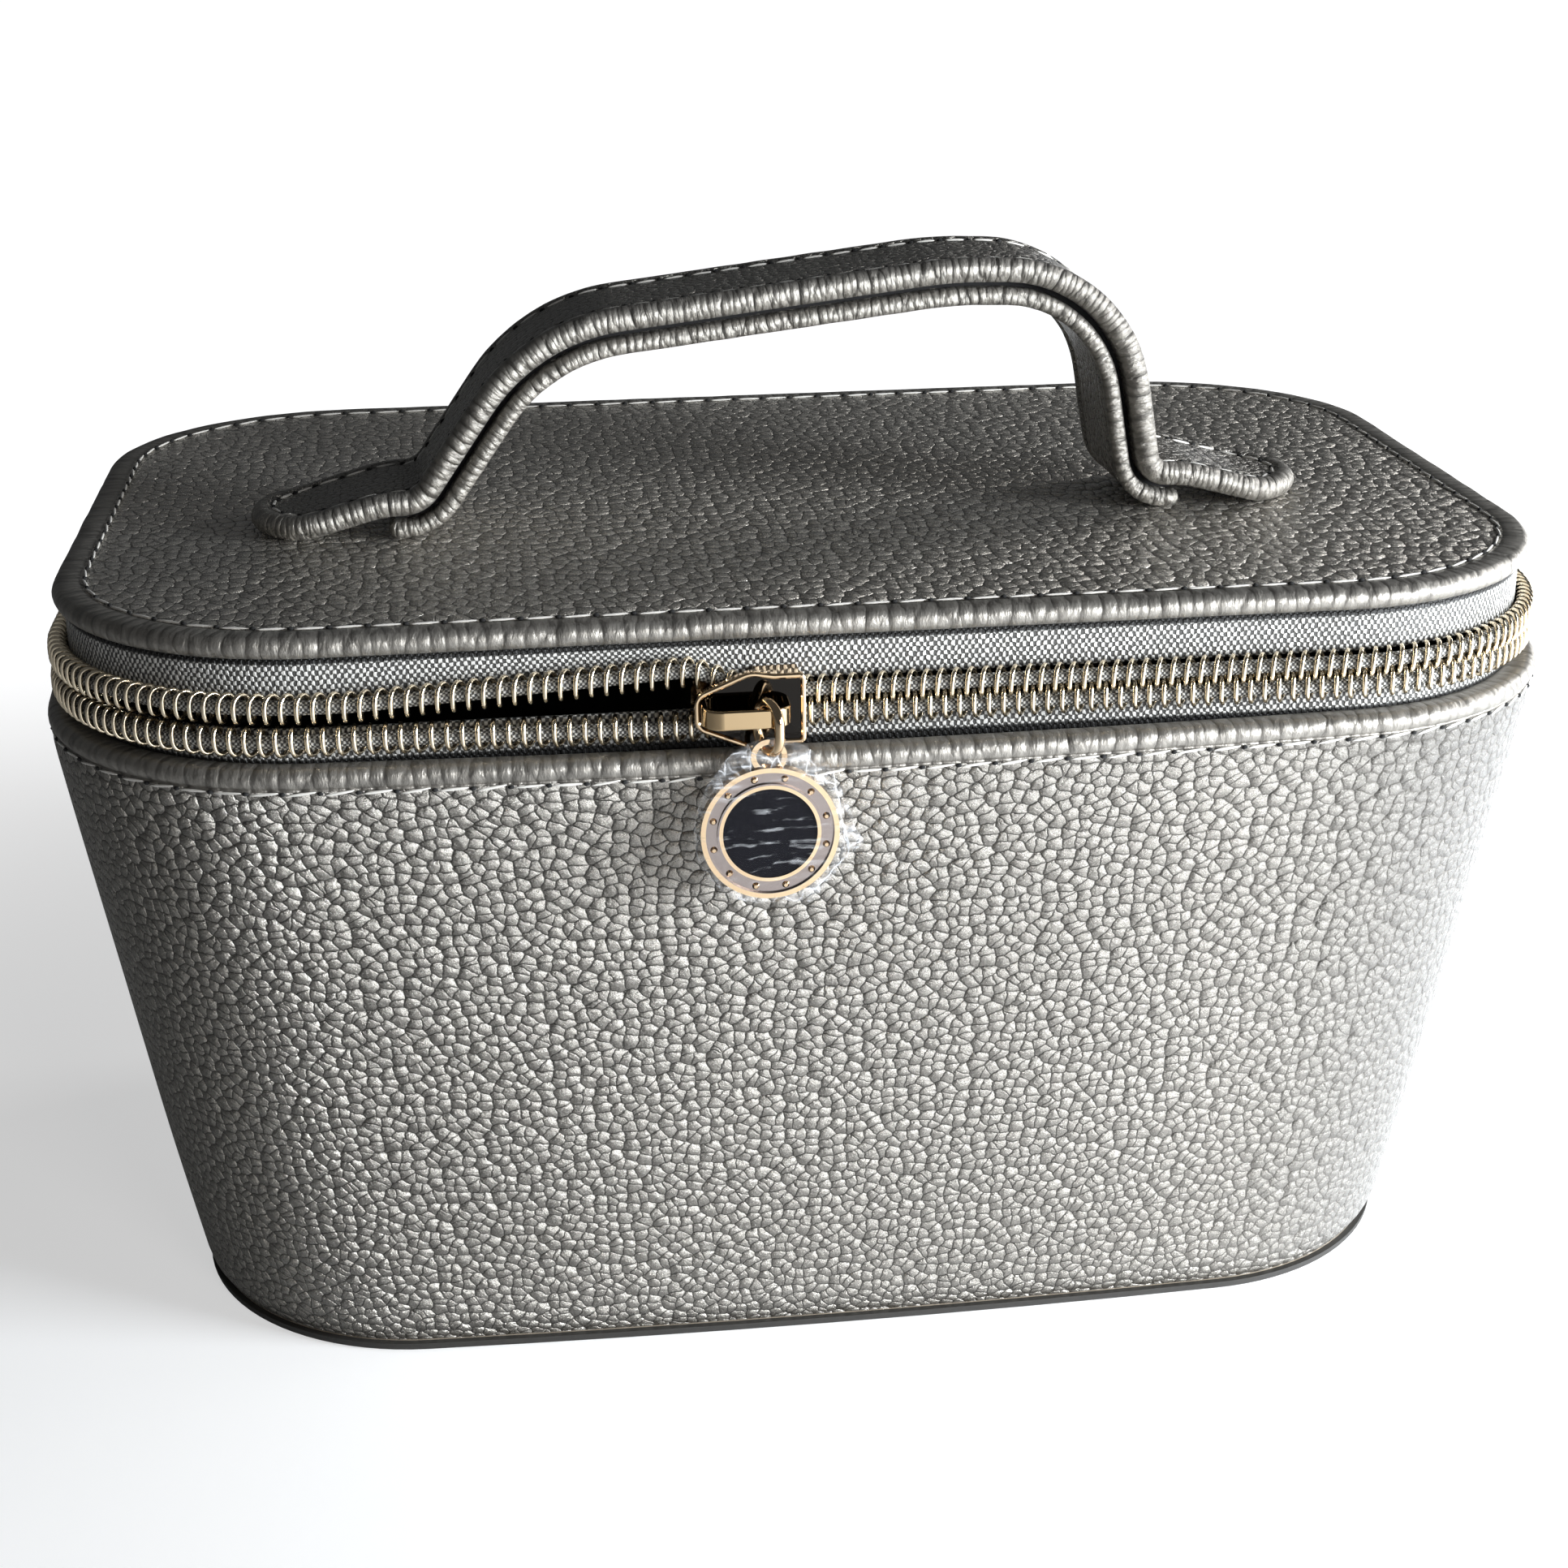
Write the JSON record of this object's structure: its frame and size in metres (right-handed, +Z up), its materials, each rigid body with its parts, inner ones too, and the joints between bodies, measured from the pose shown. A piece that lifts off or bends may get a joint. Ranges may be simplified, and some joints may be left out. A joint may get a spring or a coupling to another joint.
{
  "type": "vanity case",
  "caption": "Zipped vanity case in grained grey leather with a tapered body, hinged lid, top handle, coil zip with slider, and a round pendant pull.",
  "frame": {"origin": "on the table, under the middle of the base panel", "axes": "+X towards the owner's right along the long side, -Y the front with the slider, +Z up"},
  "size_m": [0.2472, 0.1717, 0.1753],
  "materials": {
    "grey_leather": "satin pewter grey, pebble grained",
    "board": "matte",
    "lining": "woven",
    "zip_tape": "woven",
    "gold_coil": "metallised gold",
    "gold_metal": "polished gold plate",
    "black_enamel": "glossy",
    "clear_film": "clear thin film"
  },
  "bodies": {
    "case": {"base_cover": "grey_leather", "base_board": "board", "base_lining": "lining", "wall_leather": "grey_leather", "wall_board": "board", "wall_lining": "lining", "rim_hem": "grey_leather", "lower_zip_tape": "zip_tape", "lower_binding": "zip_tape", "lower_coil": "gold_coil", "hinge_strip_lower": "lining"},
    "lid": {"lid_leather": "grey_leather", "lid_board": "board", "lid_lining": "lining", "lid_piping": "grey_leather", "upper_zip_tape": "zip_tape", "upper_binding": "zip_tape", "upper_coil": "gold_coil", "hinge_strip_upper": "lining", "handle_upper_strap": "grey_leather", "handle_under_strap": "grey_leather", "handle_core": "board"},
    "slider": {"slider_front_plate": "gold_metal", "slider_back_plate": "gold_metal", "slider_post": "gold_metal", "slider_bar": "gold_metal"},
    "pull_link": {"pull_link": "gold_metal"},
    "pendant": {"pendant_frame": "gold_metal", "pendant_enamel": "black_enamel", "pendant_pips": "gold_metal", "pendant_film": "clear_film"}
  },
  "joints": [
    {"name": "lid_hinge", "type": "hinge", "parent": "case", "child": "lid", "pos_m": [0, 0.0763, 0.119], "axis": [-1, 0, 0], "range_deg": [0, 100], "deforming": ["upper_coil"]},
    {"name": "slider_run", "type": "slide", "parent": "case", "child": "slider", "axis": [1, 0, 0], "range_m": [-0.0543, 0.0833], "deforming": ["lower_coil"]},
    {"name": "link_swing", "type": "hinge", "parent": "slider", "child": "pull_link", "pos_m": [-0.0123, -0.08525, 0.119], "axis": [-1, 0, 0], "range_deg": [0, 70]},
    {"name": "pendant_swing", "type": "hinge", "parent": "pull_link", "child": "pendant", "pos_m": [-0.0123, -0.08525, 0.1139], "axis": [-1, 0, 0], "range_deg": [-4, 10]}
  ]
}
